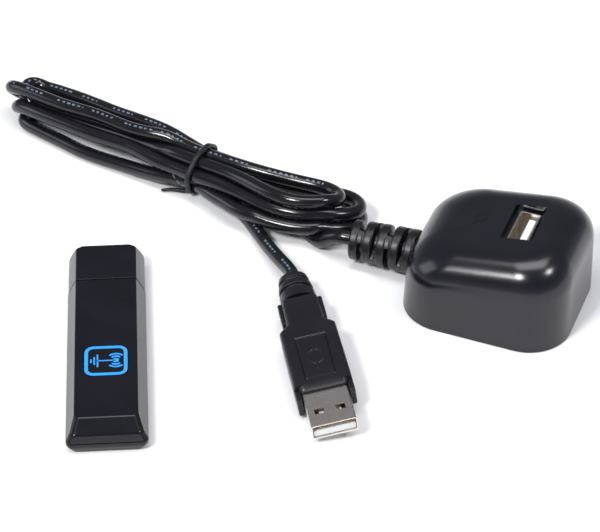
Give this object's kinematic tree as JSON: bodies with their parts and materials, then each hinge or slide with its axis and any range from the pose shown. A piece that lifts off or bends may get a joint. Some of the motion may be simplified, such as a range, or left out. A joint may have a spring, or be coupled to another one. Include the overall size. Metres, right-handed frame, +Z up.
{
  "type": "usb wireless adapter with cradle",
  "caption": "Stick-shaped USB wireless adapter with a pull-off cap, and its desk cradle: a rounded block with an upright USB socket, a tied lead and a USB plug.",
  "frame": {"origin": "middle of the stick's underside, on the surface that the set lies on", "axes": "+Y along the stick towards its cap, +X towards the cradle, +Z up"},
  "size_m": [0.165, 0.1536, 0.0267],
  "materials": {
    "gloss_black": "polished black ABS with a faint blue-grey sheen",
    "satin_black": "satin black moulded plastic with soft highlights",
    "matt_black_moulding": "matt flexible PVC moulding",
    "cord_jacket": "semi-gloss black PVC cord jacket",
    "tie_black": "black round elastic tie",
    "pad_rubber": "matt black non-slip rubber",
    "badge_blue": "bright blue printed badge",
    "nickel_steel": "nickel-plated pressed steel",
    "zinc_steel": "zinc-plated steel screw",
    "tinned_steel": "tinned steel can",
    "gold_contact": "gold-plated spring contact",
    "white_insulator": "white moulded insulator",
    "circuit_board": "green solder mask over glass-fibre board",
    "chip_black": "black epoxy chip package",
    "ceramic_part": "fired ceramic component",
    "wire_red": "red wire insulation",
    "wire_white": "white wire insulation",
    "wire_green": "green wire insulation",
    "wire_black": "black wire insulation"
  },
  "bodies": {
    "cradle_set": {"cradle_housing": "satin_black", "cradle_base_plate": "satin_black", "cradle_non_slip_pad": "pad_rubber", "cradle_base_screw_1": "zinc_steel", "cradle_base_screw_2": "zinc_steel", "cradle_base_screw_3": "zinc_steel", "cradle_base_screw_4": "zinc_steel", "cradle_board_screw_1": "zinc_steel", "cradle_board_screw_2": "zinc_steel", "cradle_socket_board": "circuit_board", "cradle_socket_shell": "nickel_steel", "cradle_socket_core": "white_insulator", "cradle_socket_contact_1": "gold_contact", "cradle_socket_contact_2": "gold_contact", "cradle_socket_contact_3": "gold_contact", "cradle_socket_contact_4": "gold_contact", "cradle_strain_relief": "matt_black_moulding", "cradle_wire_red": "wire_red", "cradle_wire_white": "wire_white", "cradle_wire_green": "wire_green", "cradle_wire_black": "wire_black", "cord_to_cradle": "cord_jacket", "cord_hank": "cord_jacket", "cord_to_plug": "cord_jacket", "cord_tie": "tie_black", "lead_plug_boot": "matt_black_moulding", "lead_plug_overmould": "matt_black_moulding", "lead_plug_shell": "nickel_steel", "lead_plug_insulator": "white_insulator", "lead_contact_1": "gold_contact", "lead_contact_2": "gold_contact", "lead_contact_3": "gold_contact", "lead_contact_4": "gold_contact"},
    "adapter": {"stick_top_cover": "gloss_black", "stick_bottom_cover": "gloss_black", "radio_badge": "badge_blue", "stick_circuit_board": "circuit_board", "stick_radio_chip": "chip_black", "stick_shield_can": "tinned_steel", "stick_crystal": "tinned_steel", "stick_regulator": "chip_black", "stick_memory_chip": "chip_black", "stick_power_capacitor": "ceramic_part", "stick_signal_capacitor": "ceramic_part", "stick_chip_antenna": "ceramic_part", "stick_plug_shell": "nickel_steel", "stick_plug_insulator": "white_insulator", "stick_contact_1": "gold_contact", "stick_contact_2": "gold_contact", "stick_contact_3": "gold_contact", "stick_contact_4": "gold_contact"},
    "cap": {"stick_cap": "gloss_black"}
  },
  "joints": [
    {"name": "adapter_lift", "type": "slide", "parent": "cradle_set", "child": "adapter", "axis": [0, 0, 1], "range_m": [0, 0.06]},
    {"name": "cap_slide", "type": "slide", "parent": "adapter", "child": "cap", "axis": [0, 1, 0], "range_m": [0, 0.025]}
  ]
}
